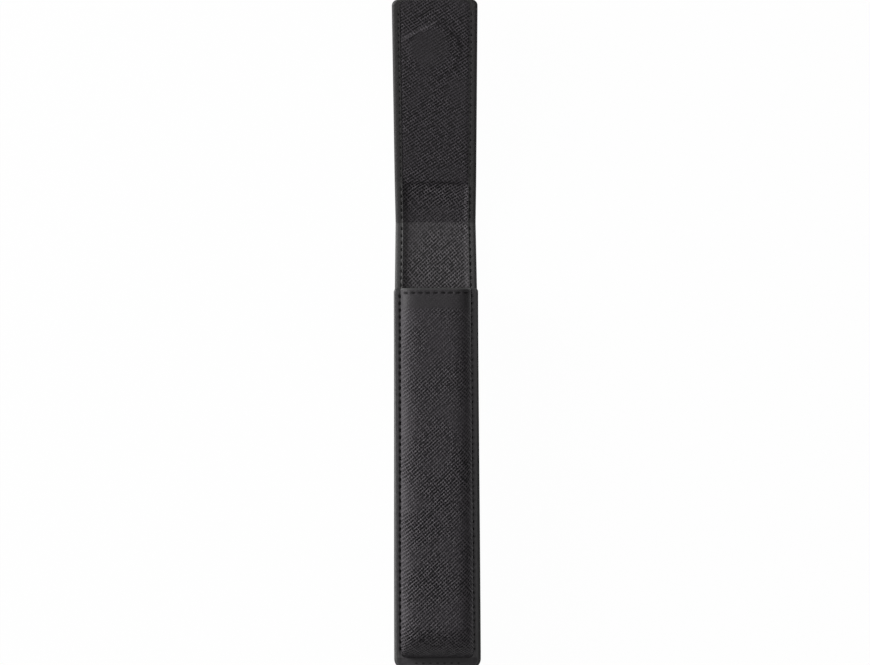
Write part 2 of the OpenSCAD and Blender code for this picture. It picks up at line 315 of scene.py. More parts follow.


# %% [markdown]
# All the skins are cut from the same black leather. The neck, the strip and the flap face the light at their
# own angles, so their skins are lit and shaded copies of one leather: the neck's colours for the pits, the
# ridges and the smooth margins are painted lighter as painted light, and the strip's and the flap's darker as
# painted shade. The last number is the depth of the grain in millimetres.

# %% Leather for each panel
# The pits' colour is painted shade, as dark as the shade that falls in them.
shaded_pit = (0.003, 0.0028, 0.0035)
lit_cover_ridge = (0.07, 0.066, 0.07)
front_skin = grained("cross_grain_front", shaded_pit, (0.086, 0.078, 0.086), (0.028, 0.026, 0.028), 0.4)
# The cover's skins are lit and shaded copies: painted light on the neck, painted shade on the strip and the
# flap.
lit_and_shaded_cover_skins = [
    grained("cross_grain_cover_neck_lit", shaded_pit, lit_cover_ridge, (0.047, 0.046, 0.046), 0.3),
    grained("cross_grain_cover_strip_shaded", shaded_pit, lit_cover_ridge, (0.034, 0.033, 0.033), 0.3),
    grained("cross_grain_cover_flap_shaded", shaded_pit, lit_cover_ridge, (0.029, 0.028, 0.028), 0.3),
]
# The lining's skins are lit and shaded copies as well: painted light on the neck, painted shade on the strip
# and the flap.
lit_neck_skin = grained(
    "cross_grain_neck_lit", (0.012, 0.0115, 0.012), (0.1, 0.093, 0.099), (0.04, 0.038, 0.04), 0.22
)
shaded_strip_skin = grained("cross_grain_strip_shaded", shaded_pit, (0.08, 0.073, 0.08), (0.034, 0.032, 0.034), 0.3)
shaded_flap_skin = grained(
    "cross_grain_flap_shaded", (0.008, 0.0075, 0.008), (0.0605, 0.0545, 0.0615), (0.03, 0.028, 0.03), 0.25
)
print("cross-grain skins:", 4 + len(lit_and_shaded_cover_skins))

# %% [markdown]
# Cut edges are closed with a smooth paint that shines more than the grain beside it. Its colour
# wanders a little along the edge, and a fine noise keeps the highlight from being a clean line.
# The thread, the sewn margins and the inner pieces are made in the same way: two close colours
# in fine spots, given here with the spots' scale, the roughness and the depth in millimetres.

# %% Painted edges, thread and inner materials
def speckled(name, first, second, scale, rough, depth, metallic=0.0, specular=0.5):
    material, tree, bsdf = shader(name)
    place = add_node(tree, "ShaderNodeTexCoord").outputs["Object"]
    spots = mottle(tree, place, scale, 4.0, 0.6)
    plug(tree, bsdf.inputs["Base Color"], blended(tree, spots, opaque(first), opaque(second)))
    plug(tree, bsdf.inputs["Roughness"], remap(tree, spots, 0.3, 0.7, rough - 0.08, rough + 0.08))
    bsdf.inputs["Metallic"].default_value = metallic
    bsdf.inputs["Specular IOR Level"].default_value = specular
    bump = add_node(tree, "ShaderNodeBump", {"Strength": 1.0, "Distance": depth * MM, "Height": spots})
    plug(tree, bsdf.inputs["Normal"], bump.outputs["Normal"])
    return material


edge_paint = speckled(
    "edge_paint", (0.03, 0.03, 0.03), (0.05, 0.049, 0.05), 900, 0.36, 0.03, specular=0.17
)
thread = speckled(
    "waxed_thread", (0.004, 0.004, 0.004), (0.01, 0.0095, 0.01), 2500, 0.85, 0.05, specular=0.1
)
# The sewn margins' colour is painted light: they are smooth leather, painted lighter than it is to stand in
# for the sheen they catch beside the walls' shade.
lit_sewn_skin = speckled(
    "sewn_margin_lit", (0.05, 0.048, 0.05), (0.1, 0.097, 0.1), 1500, 0.5, 0.05, specular=0.12
)
# The margin below the heel takes a darker copy of the sewn margins' colour, as painted shade.
shaded_hem_skin = speckled(
    "hem_margin_shaded", (0.03, 0.028, 0.03), (0.05, 0.047, 0.05), 1500, 0.5, 0.08, specular=0.12
)
suede = speckled("pocket_lining", (0.016, 0.015, 0.017), (0.03, 0.028, 0.031), 1800, 0.85, 0.08)
fibre = speckled("fibre_board", (0.2, 0.15, 0.085), (0.34, 0.26, 0.15), 1200, 0.85, 0.05)
plated = speckled("nickel_plate", (0.55, 0.54, 0.5), (0.68, 0.67, 0.63), 700, 0.3, 0.01, metallic=1.0)
sheet_steel = speckled(
    "sheet_steel", (0.42, 0.42, 0.43), (0.56, 0.56, 0.57), 900, 0.38, 0.015, metallic=1.0
)

# %% [markdown]
# The floor is a wide white sheet. Seen by the camera or in a reflection it is mostly its own
# white, and it keeps a share of real shading, so that the sleeve's soft shadow stays on it.

# %% Lay the floor
floor_r = 5.0
glow_share = 0.98
bm = bmesh.new()
bmesh.ops.create_circle(bm, cap_ends=True, segments=96, radius=floor_r)
floor_mesh = bpy.data.meshes.new("floor")
bm.to_mesh(floor_mesh)
bm.free()
floor = bpy.data.objects.new("floor", floor_mesh)
bpy.context.scene.collection.objects.link(floor)
floor_paint, tree, bsdf = shader("floor_white")
bsdf.inputs["Base Color"].default_value = (0.6, 0.6, 0.6, 1)
bsdf.inputs["Roughness"].default_value = 0.9
glow = add_node(tree, "ShaderNodeEmission", {"Color": (1, 1, 1, 1), "Strength": 1.0})
rays = add_node(tree, "ShaderNodeLightPath").outputs
seen = calc(tree, "MAXIMUM", rays["Is Camera Ray"], rays["Is Glossy Ray"])
seen = calc(tree, "MAXIMUM", seen, rays["Is Transmission Ray"])
own_white = add_node(tree, "ShaderNodeMixShader")
plug(tree, own_white.inputs[0], calc(tree, "MULTIPLY", seen, glow_share))
plug(tree, own_white.inputs[1], bsdf.outputs[0])
plug(tree, own_white.inputs[2], glow.outputs[0])
tree.links.new(own_white.outputs[0], tree.nodes["Material Output"].inputs["Surface"])
floor_mesh.materials.append(floor_paint)
print(f"the floor is {2 * floor_r:.0f} m wide")

# %% [markdown]
# Panels are drawn with a few small curves. One eases from 0 to 1, one says how much a rounded
# corner takes off at a distance from its edge, and one spaces stations evenly. The last folds a
# place of the flat pattern up at the lower crease, as the opened flap stands.

# %% Curves and places
def ease(value):
    t = min(max(value, 0), 1)
    return t * t * (3 - 2 * t)


def corner(distance, radius):
    d = max(distance, 0)
    return radius - math.sqrt(radius * radius - (radius - d) ** 2) if d < radius else 0


def even(start, stop, step):
    count = max(1, round((stop - start) / step))
    return [start + (stop - start) * i / count for i in range(count + 1)]


def laid(x, along, height):
    """A point of the flat pattern, folded up at the lower crease as the opened flap is."""
    if along <= body_len:
        return Vector((x, bottom_y + along, height))
    turn = Matrix.Rotation(rise, 3, "X")
    return lower_crease + turn @ Vector((x, along - body_len, height - lower_crease.z))


print(f"the flap's tip stands {laid(0, flap_stop, margin_z).z:.1f} mm above the table")

# %% [markdown]
# A sewn panel is even from side to side, so only its right half is modelled. Its outline across
# the sleeve is a row of points, and a grid is laid through one such row for each station along
# the sleeve. Each point notes how deep the grain was pressed there and which material it takes,
# and then how far it lies around and along the leather, which later places the grain.

# %% Lay a grid through the outlines
def grid_through(bm, outline, stations):
    """The right half's points by column and row, each at its place in its station's outline."""
    pressed = bm.verts.layers.float["pressed"]
    part = bm.verts.layers.float["part"]
    rows = [outline(station) for station in stations]
    across = len(rows[0]) - 1
    count = len(stations) - 1
    bmesh.ops.create_grid(bm, x_segments=across, y_segments=count, size=0.5)
    grid = {}
    for vert in bm.verts:
        grid[round((vert.co.x + 0.5) * across), round((vert.co.y + 0.5) * count)] = vert
    for (i, j), vert in grid.items():
        x, height, vert[pressed], vert[part] = rows[j][i]
        vert.co = laid(x, stations[j], height)
    return grid, across, count


def note_distances(bm, grid, across, count, start):
    """How far each point lies around the section and along the leather, in millimetres."""
    around = bm.verts.layers.float["around"]
    along = bm.verts.layers.float["along"]
    for j in range(count + 1):
        for i in range(1, across + 1):
            grid[i, j][around] = grid[i - 1, j][around] + (grid[i, j].co - grid[i - 1, j].co).length
    for i in range(across + 1):
        grid[i, 0][along] = start
        for j in range(1, count + 1):
            grid[i, j][along] = grid[i, j - 1][along] + (grid[i, j].co - grid[i, j - 1].co).length


# %% [markdown]
# The mirror operator makes the left half, whose distances around count the other way. Doubled
# points on the middle line are merged, and the open ends are filled.

# %% Mirror the half and close it
merge_gap = 0.0005


def half_panel(outline, stations):
    """A closed panel, mirrored from the half that the outlines give."""
    bm = bmesh.new()
    for name in ("around", "along", "pressed", "part"):
        bm.verts.layers.float.new(name)
    grid, across, count = grid_through(bm, outline, stations)
    note_distances(bm, grid, across, count, stations[0])
    everything = bm.verts[:] + bm.edges[:] + bm.faces[:]
    bmesh.ops.mirror(bm, geom=everything, matrix=Matrix(), merge_dist=2 * merge_gap, axis="X")
    around = bm.verts.layers.float["around"]
    for vert in bm.verts:
        if vert.co.x < 0:
            vert[around] *= -1
    bmesh.ops.remove_doubles(bm, verts=bm.verts[:], dist=merge_gap)
    open_edges = [edge for edge in bm.edges if edge.is_boundary]
    bmesh.ops.holes_fill(bm, edges=open_edges, sides=0)
    bmesh.ops.recalc_face_normals(bm, faces=bm.faces[:])
    return bm


# %% [markdown]
# The grain's first ridges rise to the right and its second ones fall. On the flap the first set
# lies flatter than on the neck, so its angle changes over the strip between the creases. The
# map adds up the ridges passed on the way, which keeps their spacing even through the change.

# %% Lay the grain map
ridge_pitch = 1.0
steep = math.radians(42)
flat = math.radians(31)
falling = math.radians(50)
change_lead = 6
change_start = body_len - change_lead
change_len = strip_len + change_lead


def ridges_passed(along):
    """How far across the first set of ridges a place lies from the bottom edge, in millimetres."""
    if along <= change_start:
        return along * math.cos(steep)
    before = change_start * math.cos(steep)
    reach = min(along, flap_start)
    angle = steep + (flat - steep) * (reach - change_start) / change_len
    turn = (math.sin(angle) - math.sin(steep)) * change_len / (flat - steep)
    return before + turn + max(along - flap_start, 0) * math.cos(flat)


def grain_place(around, along):
    share = min(max((along - change_start) / change_len, 0), 1)
    angle = steep + (flat - steep) * share
    first = ridges_passed(along) - around * math.sin(angle)
    second = along * math.cos(falling) + around * math.sin(falling)
    return first / ridge_pitch, second / ridge_pitch


print("ridges along the sleeve:", round(ridges_passed(flap_stop) / ridge_pitch))

# %% [markdown]
# A finished panel carries its grain map and goes from millimetres to metres. A face takes the
# material of the lowest part number among its corners, and edges sharper than a soft leather
# bend are kept crisp, such as those between a margin and the cut edge below it.

# %% Finish a panel
sharp_turn = math.radians(42)


def as_object(bm, name, materials):
    """The bmesh as an object in the scene, in metres."""
    bmesh.ops.scale(bm, vec=(MM, MM, MM), verts=bm.verts[:])
    mesh = bpy.data.meshes.new(name)
    bm.to_mesh(mesh)
    bm.free()
    for material in materials:
        mesh.materials.append(material)
    piece = bpy.data.objects.new(name, mesh)
    bpy.context.scene.collection.objects.link(piece)
    print(name, len(mesh.vertices), "points")
    return piece


def finished(bm, name, materials):
    """The panel as an object, with its grain map, its materials and its crisp edges."""
    around = bm.verts.layers.float["around"]
    along = bm.verts.layers.float["along"]
    part = bm.verts.layers.float["part"]
    grain = bm.loops.layers.uv.new("grain")
    for face in bm.faces:
        face.smooth = True
        face.material_index = round(min(vert[part] for vert in face.verts))
        for loop in face.loops:
            loop[grain].uv = grain_place(loop.vert[around], loop.vert[along])
    for edge in bm.edges:
        edge.smooth = edge.calc_face_angle(0) < sharp_turn
    return as_object(bm, name, materials)


# %% [markdown]
# Each stitch pulls the leather down around it. A row of stitches is a list of even places, and
# the pull is strongest at the middle of a stitch and nothing between two of them. The rows stop
# short of the creases, where the leather has to bend freely.

# %% Where the stitches are, and how they pull
pitch = 2.5
mouth_pitch = 2.65
mouth_count = 9
seam_inset = 2.2
seam_start = 6.6
seam_end = 1.6


def spaced(low, high, step=pitch):
    count = math.floor((high - low) / step)
    spare = (high - low - count * step) / 2
    return [low + spare + i * step for i in range(count + 1)]


def pull(place, row, reach=0.62):
    step = row[1] - row[0]
    index = min(max(round((place - row[0]) / step), 0), len(row) - 1)
    return math.exp(-(abs(place - row[index]) / reach) ** 4)


neck_row = spaced(mouth + seam_end, body_len - seam_end)
strip_row = spaced(body_len + seam_end, flap_start - seam_end)
flap_row = spaced(flap_start + seam_end, flap_stop - tip_r - seam_end)
side_row = spaced(seam_start, mouth - seam_end)
mouth_row = [(i - mouth_count // 2) * mouth_pitch for i in range(mouth_count)]
print("stitches in a side seam:", len(side_row), "and beside the flap:", len(flap_row))

# %% [markdown]
# The outer leather is one long strap. It is widest along the pocket, narrows towards the lower
# crease, and widens again along the flap up to its rounded tip. The tip's corners are already
# rounding where the flap is widest, so its sides aim at a slightly greater width.

# %% Width of the strap
tip_aim = tip_half + 0.08


def strap_half(along):
    if along <= mouth - taper_len:
        return back_half_wide - corner(along, corner_r)
    if along <= body_len:
        share = (along - mouth + taper_len) / (body_len - mouth + taper_len)
        return back_half_wide + (neck_half - back_half_wide) * share
    if along <= flap_start:
        return neck_half + (crease_half - neck_half) * (along - body_len) / strip_len
    share = (along - flap_start) / flap_len
    wide = crease_half + (tip_aim - crease_half) * share
    return wide - corner(flap_stop - along, tip_r)


def on_flap(along, length=4):
    """Goes from 0 on the strip to 1 on the flap, over a short length at the upper crease."""
    return ease((along - flap_start + 2) / length)


print(f"half widths: {strap_half(mouth / 2):.1f} at the pocket, {strap_half(body_len):.1f} at the lower "
      f"crease, {strap_half(flap_stop - tip_r):.1f} at the tip")

# %% [markdown]
# The strap's sides are turned over the lining's edges and sewn down, which leaves a round fold
# at each side and a smooth margin on top. The stitches pull the margin into a shallow channel,
# deeper on the neck than on the boarded flap, and beside the neck's lining the margin's cut edge
# stands up as a small bead.

# %% Section of the strap
channel = 0.03
channel_w = 0.28
hole = 0.2
flap_hole_cut = 0.55
bead_rise = 0.15
bead_w = 0.22
bead_inset = 0.12
# How deep the grain is pressed: fully on the faces, and barely on the margins
fully = 1.0
barely = 0.15
fold_steps = 12
# Distances of the margin's points from its outer edge, closest at the seam and the cut edge
margin_insets = (1.3, 1.5, 1.7, 1.85, 2.0, 2.1, 2.2, 2.3, 2.4, 2.5, 2.6, 2.7, turn_w)


def seam_dip(along):
    rows = [row for row in (neck_row, strip_row, flap_row) if row[0] - pitch <= along <= row[-1] + pitch]
    depth = hole * (1 - flap_hole_cut * on_flap(along))
    return channel + depth * max([pull(along, row) for row in rows], default=0)


def side_fold(middle, part):
    """The leather's way round the side, from the resting face up to the margin."""
    points = []
    for step in range(fold_steps + 1):
        angle = math.radians(-90 + 180 / fold_steps * step)
        depth = fully - (fully - barely) * ease(step / 8)
        points.append((middle + fold_r * math.cos(angle), fold_r + fold_r * math.sin(angle), depth, part))
    return points


def turned_outline(along):
    half = strap_half(along)
    part = float((along > body_len) + (along > flap_start))
    middle = half - fold_r
    points = [(middle * share, 0.0, fully, part) for share in (0, 0.25, 0.5, 0.75)]
    points += side_fold(middle, part)
    dip = seam_dip(along)
    bead = bead_rise * (1 - on_flap(along, 3))
    for inset in margin_insets:
        sink = dip * math.exp(-((inset - seam_inset) / channel_w) ** 2)
        lift = bead * math.exp(-((inset - turn_w + bead_inset) / bead_w) ** 2)
        points.append((half - inset, margin_z - sink + lift, barely, part))
    slot_side = half - leather
    for x, height in ((half - turn_w, leather + lining), (slot_side, leather + lining), (slot_side, leather)):
        points.append((x, height, barely, part))
    points.append((0, leather, barely, part))
    return points


# %% [markdown]
# The strap bends at two creases, and a piece can bend only between two bodies, so it is made in two lengths
# that meet in the middle of the strip. Its rows lie six to a stitch where it is sewn, and far apart under the
# pocket, where it is plain. The three materials are lit and shaded copies for the margins of the neck, the
# strip and the flap: their colours are painted light and painted shade, since the light reaches them
# differently.

# %% Outer leather with turned sides
fine = pitch / 6
bottom_stations = [corner_r * (1 - math.cos(math.radians(a))) for a in range(0, 90, 10)]
tip_stations = [flap_stop - tip_r * (1 - math.sin(math.radians(a))) for a in range(0, 91, 10)]
lower_stations = bottom_stations + even(corner_r, mouth - 4, 5)
lower_stations += even(mouth - 3.5, split, fine)
upper_stations = even(split, flap_stop - tip_r - 0.3, fine) + tip_stations

cover_low = finished(half_panel(turned_outline, lower_stations), "outer_leather_back", lit_and_shaded_cover_skins)
cover_up = finished(half_panel(turned_outline, upper_stations), "outer_leather_flap", lit_and_shaded_cover_skins)

# %% [markdown]
# The magnet is a flat disc under the flap's lining. It lifts a round plateau with a soft rim,
# which stands up more on the side of the flap's tip, and a short straight fold has formed in
# the lining beside it, where the leather was pressed around the disc.

# %% The round over the magnet
magnet_low, magnet_high = (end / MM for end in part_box("flap_magnet"))
magnet_y = (magnet_low.y + magnet_high.y) / 2
magnet_at = body_len + (magnet_y - lower_crease.y) / math.cos(rise) - 0.2
magnet_r = (magnet_high.x - magnet_low.x) / 2
# The plateau's height, its share at the rim near the creases, what the tip's side has more,
# and the width of the rim's fall
magnet_lift = 0.5
low_share = 0.2
more_share = 1.05
rim_w = 0.9
# The fold's lean, distance from the rim, height, half length and the length of its ends, and
# how softly it falls on its outer and its inner side
fold_lean = math.radians(26)
fold_gap = 0.4
fold_lift = 0.66
fold_reach = 4.5
fold_end = 4.0
fold_outside = 0.4
fold_inside = 2.0
# Radius of the patch on the round that is pressed less deep, and by how much
patch_r = 5.5
patch_cut = 0.4
print(f"the magnet's round is {2 * magnet_r:.1f} mm wide, {flap_stop - magnet_at:.1f} mm from the tip")


def magnet_bump(x, along):
    """The plateau over the magnet, which stands up more towards the flap's tip."""
    reach = math.hypot(x, along - magnet_at)
    upper = ease((along - magnet_at + magnet_r) / (2 * magnet_r))
    tilt = low_share + more_share * upper ** 3
    rim = rim_w * (1 + upper)
    return magnet_lift * tilt * (1 - ease((reach - magnet_r + 0.1) / rim))


def add_magnet_fold(bm):
    """A short straight fold at the magnet's rim, and a smoother patch on the round itself."""
    pressed = bm.verts.layers.float["pressed"]
    for vert in bm.verts:
        if vert[pressed] < 0.9:
            continue
        up = (vert.co.y - lower_crease.y) / math.cos(rise) + body_len - magnet_at
        beyond = up * math.cos(fold_lean) - vert.co.x * math.sin(fold_lean) - magnet_r - fold_gap
        beside = vert.co.x * math.cos(fold_lean) + up * math.sin(fold_lean)
        softness = fold_outside if beyond > 0 else fold_inside
        ends = 1 - ease((abs(beside + 1) - fold_reach) / fold_end)
        lift = fold_lift * math.exp(-(beyond / softness) ** 2) * ends
        vert.co.z += max(0, lift - magnet_bump(vert.co.x, up + magnet_at))
        inside = 1 - ease((math.hypot(vert.co.x + 1.5, up - 1) - patch_r) / 3)
        vert[pressed] = fully - patch_cut * inside


# %% [markdown]
# The lining lies between the turned margins. On the neck it sags a little below them, so its
# sides climb to the margins. Under the pocket a board lifts it to the margins' height, and so
# does the flap's board beyond the upper crease.

# %% Section of the lining
sunk = leather + lining
# How much the neck's lining climbs beside the margins, and over which width
climb_rise = 0.32
climb_w = 1.7
# Where the lining starts to sink below the mouth, and over which length
board_fade = 12
fade_len = 4
# How far a boarded lining lies below the margins on the back and at the flap board's edge
back_step = 0.05
flap_step = 0.14
lining_steps = 26
tucked = 0.3


def lining_top(x, along, half):
    inner = half - turn_w
    flap_share = ease((along - flap_start + 0.9) / 1.7)
    climb = ease((abs(x) - inner + climb_w) / climb_w)
    boarded = 1 - ease((along - mouth + board_fade) / fade_len)
    neck_z = sunk + max(climb_rise * climb, (margin_z - back_step - sunk) * boarded)
    board_edge = ease((inner - 0.1 - abs(x)) / 0.9)
    flap_z = margin_z - flap_step + flap_step * board_edge + magnet_bump(x, along)
    return neck_z + (flap_z - neck_z) * flap_share


def lining_outline(along):
    half = strap_half(along)
    inner = half - turn_w
    part = 1.0 if body_len < along < flap_start else 0.0
    points = []
    for step in range(lining_steps + 1):
        x = inner * (step / lining_steps)
        points.append((x, lining_top(x, along, half), fully, part))
    tuck_x = half - leather - 0.1
    under_z = sunk - 0.02
    back_z = leather + 0.02
    for x, height in ((inner + 0.02, under_z), (tuck_x, under_z), (tuck_x, back_z), (0, back_z)):
        points.append((x, height, tucked, part))
    return points


neck_depth = margin_z - lining_top(0, body_len - 5, strap_half(body_len - 5))
print(f"the neck's lining lies {neck_depth:.1f} mm below its margins")

# %% [markdown]
# Like the strap, the lining is made in two lengths that meet in the middle of the strip. Its
# rows lie close at the creases and closest over the magnet, where the light grazes the round.

# %% Lining of the neck, the strip and the flap
lining_low_stations = even(0.2, mouth - 4, 6) + even(mouth - 3, body_len - 3, 1.2)
lining_low_stations += even(body_len - 2.6, split, 0.4)
lining_up_stations = even(split, flap_start + 2.6, 0.4)
lining_up_stations += even(flap_start + 3, magnet_at - 10.5, 0.6)
lining_up_stations += even(magnet_at - 10, flap_stop - tip_r - 0.5, 0.32) + tip_stations
lining_low_bm = half_panel(lining_outline, lining_low_stations)
lining_low = finished(lining_low_bm, "lining_back", [lit_neck_skin, shaded_strip_skin])
lining_up_bm = half_panel(lining_outline, lining_up_stations)
add_magnet_fold(lining_up_bm)
lining_up = finished(lining_up_bm, "lining_flap", [shaded_flap_skin, shaded_strip_skin])

# %% [markdown]
# The pocket's front is wet-moulded over a block: a flat plateau, soft shoulders, steep walls
# and a sewn margin all round. Its section is a squared ellipse, and the heel at the bottom
# rises along the same kind of curve. Near the mouth the plateau dips to the lip.

# %% Curves of the moulded front
squareness = 5
heel_power = 1.8
heel_margin = 4
heel_len = 10.6
foot_r = 2
lip_len = 7
lip_drop = 1.0
lip_r = 0.8
front_stop = mouth + 0.9
# The front's edge lies inside the solid's at the mouth, and spreads towards the bottom
edge_inset = 0.15
edge_spread = 0.4
# From the edge to the side seam, and on to the wall's foot
front_inset = 2.35
foot_gap = 0.25
# How much of the squared curve the crown uses before the wall drops straight, outside and inside
outer_shoulder = 0.95
inner_shoulder = 0.985


def front_half(along):
    spread = edge_spread * ease((mouth - along) / mouth)
    wide = seam_half - edge_inset + spread
    return wide - corner(along, corner_r) - corner(front_stop - along, mouth_r)


def foot_at(along):
    """Half the width between the walls' feet, which ignores the corners of the margin."""
    return front_half(max(min(along, front_stop - mouth_r), corner_r)) - front_inset - foot_gap


def heel_rise(along, inset):
    u = (heel_margin + inset + heel_len - along) / heel_len
    if u >= 1:
        return 0
    return 1 if u <= 0 else (1 - u ** heel_power) ** (1 / heel_power)


def lip_dip(along):
    return lip_drop * max(0, (along - mouth + lip_len) / lip_len) ** 2


def arch(along, base, inset, share, shoulder=outer_shoulder):
    """A point of the moulded section's crown, at a share of its half width."""
    half = foot_at(along) - inset - corner(along - heel_margin - inset, foot_r)
    top = (crown - inset - lip_dip(along) - base) * heel_rise(along, inset)
    return half * share, base + top * (1 - (shoulder * share) ** squareness) ** (1 / squareness)


print(f"the front is {2 * front_half(mouth / 2):.1f} mm wide, and its walls stand "
      f"{2 * foot_at(mouth / 2):.1f} mm apart")

# %% [markdown]
# The seam pulls the margin into a bed with a pit at each stitch, and the stitches across the
# mouth do the same on the lip. The margin below the heel is level, with a channel along its own
# row. Handling wears the grain towards the mouth, and the lip was pressed smooth.

# %% How the seams press the front
# The side seams' bed and pits
seam_bed = 0.08
bed_z = flange_z - seam_bed
pit_depth = 0.42
seam_spread = 0.36
# The mouth's row: its distance from the solid's edge, its half length, and how it presses
mouth_inset = 0.9
lip_reach = 11.4
lip_channel = 0.05
lip_pit = 0.4
lip_spread = 0.4
# The channel along the bottom row
hem_channel = 0.2
hem_spread = 0.45
# Where the grain starts to be worn, over which length and by how much, and the smooth lip
worn_from = 50
worn_len = 60
worn_cut = 0.3
smooth_from = 7.2
smooth_cut = 0.85
bare = 0.1
# The front's materials by number
grain_part, edge_part, sewn_part, hem_part = 0.0, 1.0, 2.0, 3.0


def pit_at(x, seam, pulled):
    return pit_depth * pulled * math.exp(-((x - seam) / seam_spread) ** 2)


def mouth_press(x, along):
    """How far the row of stitches across the mouth presses the lip down."""
    across = math.exp(-((along - mouth + mouth_inset) / lip_spread) ** 2)
    return across * (lip_channel + lip_pit * pull(x, mouth_row, 0.9) * (abs(x) < lip_reach))


def flat_margin(along, x, seam):
    """What the level margin below the heel adds to the bed's height."""
    share = 1 - ease((along - heel_margin) / 1.0)
    row_channel = hem_channel * math.exp(-((along - heel_margin / 2) / hem_spread) ** 2)
    near_seam = math.exp(-((x - seam) / 1.2) ** 2)
    return share * (seam_bed - row_channel) * (1 - near_seam)


def front_pressed(along):
    worn = fully - worn_cut * ease((along - worn_from) / worn_len)
    return worn * (1 - smooth_cut * ease((along - mouth + smooth_from) / 1.6))


def part_at(along, usual):
    """The hem's material at the bottom, the paint's at the mouth's cut edge, or the usual one."""
    if along <= heel_margin:
        return hem_part
    return edge_part if along > front_stop - lip_r + 0.1 else usual


# %% [markdown]
# One section of the front goes from the plateau down the wall and through the bed of the seam up
# to the margin's crest. At the wall's foot the leather spreads a little, and each stitch draws
# it back in.

# %% Section of the crown, the wall and the margin
crown_steps = 25
wall_shares = (0.8, 0.6, 0.4, 0.25, 0.13, 0.05, 0.0)
foot_soft = 0.7
foot_spread = 0.35
foot_drawn = 0.5
foot_bare = 0.7
crest_rise = 0.05


def wall_points(along, seam, pulled, rounding):
    surface = [arch(along, bed_z, rounding, step / crown_steps) for step in range(crown_steps + 1)]
    wall_x, wall_z = surface[-1]
    surface += [(wall_x, bed_z + (wall_z - bed_z) * share) for share in wall_shares]
    points = []
    for x, height in surface:
        low = math.exp(-(height - bed_z) / foot_soft)
        x *= 1 + (foot_spread - foot_drawn * pulled) * low / foot_at(along) * heel_rise(along, 0)
        height -= mouth_press(x, along) * (1 - low)
        height += flat_margin(along, x, seam) * low
        worn = foot_bare * low * ease((along - heel_margin) / 2)
        points.append((x, height, front_pressed(along) - worn, part_at(along, grain_part)))
    return points


def margin_points(along, foot, seam, crest, pulled, rounding):
    part = part_at(along, sewn_part)
    points = []
    for share in (0.35, 0.7, 1.0):
        x = foot + (seam - foot) * share
        points.append((x, bed_z - pit_at(x, seam, pulled) - rounding * 0.5, barely, part))
    for share in (0.15, 0.3, 0.45, 0.6, 0.8, 1.0):
        x = seam + (crest - seam) * share
        swell = (seam_bed + crest_rise) * math.sin(share * math.pi / 2)
        points.append((x, bed_z + swell - pit_at(x, seam, pulled) - rounding * 0.5, barely, part))
    return points


# %% [markdown]
# Beyond the crest the section goes down the pared and painted edge and returns along the inner
# face, which meets the pocket's lining. The pared edge is a slope of about 36 degrees: a
# steeper one would mirror the bright floor all along the side.

# %% Section of the pared edge and the inner face
edge_fall = 0.72
slope_at_mouth = 0.7
slope_more = 0.5
slope_len = 90


def edge_points(crest, slope, rounding):
    points = []
    for share in (0.15, 0.25, 0.35, 0.6, 0.8, 1.0):
        height = flange_z + crest_rise - edge_fall * slope * max(share - 0.25, 0) - rounding * 0.3
        points.append((crest + slope * share, height, bare, edge_part))
    points.append((crest + slope, margin_z, bare, edge_part))
    return points


def inner_points(along):
    points = [(foot_at(along) - leather, margin_z, bare, grain_part)]
    for share in (1.0, 0.96, 0.91, 0.84, 0.74, 0.6, 0.35, 0.0):
        points.append((*arch(along, margin_z, leather, share, inner_shoulder), bare, grain_part))
    return points


def front_outline(along):
    half = front_half(along)
    seam = half - front_inset
    pulled = pull(along, side_row) if side_row[0] - pitch < along < side_row[-1] + pitch else 0
    rounding = corner(front_stop - along, lip_r)
    slope = slope_at_mouth + slope_more * ease((mouth - along) / slope_len)
    slope = min(slope, max(half - seam - 0.5, 0.3))
    crest = half - slope
    points = wall_points(along, seam, pulled, rounding)
    points += margin_points(along, points[-1][0], seam, crest, pulled, rounding)
    return points + edge_points(crest, slope, rounding) + inner_points(along)


print("points in the front's half section:", len(front_outline(mouth / 2)))

# %% [markdown]
# The front's rows follow its shape: close on the rounded bottom corners and the heel, six to a
# stitch along the walls, and closest at the lip.

# %% Moulded front
heel_stations = [heel_margin + heel_len * (1 - math.cos(math.radians(a))) for a in range(0, 87, 3)]
front_stations = bottom_stations + [corner_r] + heel_stations
front_stations += even(heel_margin + heel_len, mouth - lip_len, fine)
front_stations += even(mouth - lip_len + 0.3, front_stop - mouth_r - 0.1, 0.2)
front_stations += [front_stop - mouth_r * (1 - math.sin(math.radians(a))) for a in range(0, 91, 10)]
front_bm = half_panel(front_outline, front_stations)
front = finished(front_bm, "moulded_front", [front_skin, edge_paint, lit_sewn_skin, shaded_hem_skin])

# %% [markdown]
# Each stitch is a short length of waxed thread with round ends that dive into their holes. It
# is made from a sphere that is drawn out along the seam, and one helper lays it in its place.

# %% Make a stitch
stitch_len = 1.9
thread_r = 0.25
end_drop = 0.2
slant = math.radians(6)


def sew(bm, place, turn, length=stitch_len):
    made = bmesh.ops.create_uvsphere(bm, u_segments=8, v_segments=6, radius=thread_r)["verts"]
    for vert in made:
        vert.co.x, vert.co.y, vert.co.z = vert.co.x, vert.co.z, vert.co.y
        vert.co.y += math.copysign(length / 2 - thread_r, vert.co.y) if abs(vert.co.y) > 1e-6 else 0
        vert.co.z -= end_drop * (2 * vert.co.y / length) ** 2
    bmesh.ops.rotate(bm, cent=(0, 0, 0), matrix=turn, verts=made)
    bmesh.ops.translate(bm, vec=place, verts=made)


def stitch_object(bm, name):
    bmesh.ops.recalc_face_normals(bm, faces=bm.faces[:])
    for face in bm.faces:
        face.smooth = True
    piece = as_object(bm, name, [thread])
    return piece


def about_z(angle):
    return Matrix.Rotation(angle, 3, "Z")


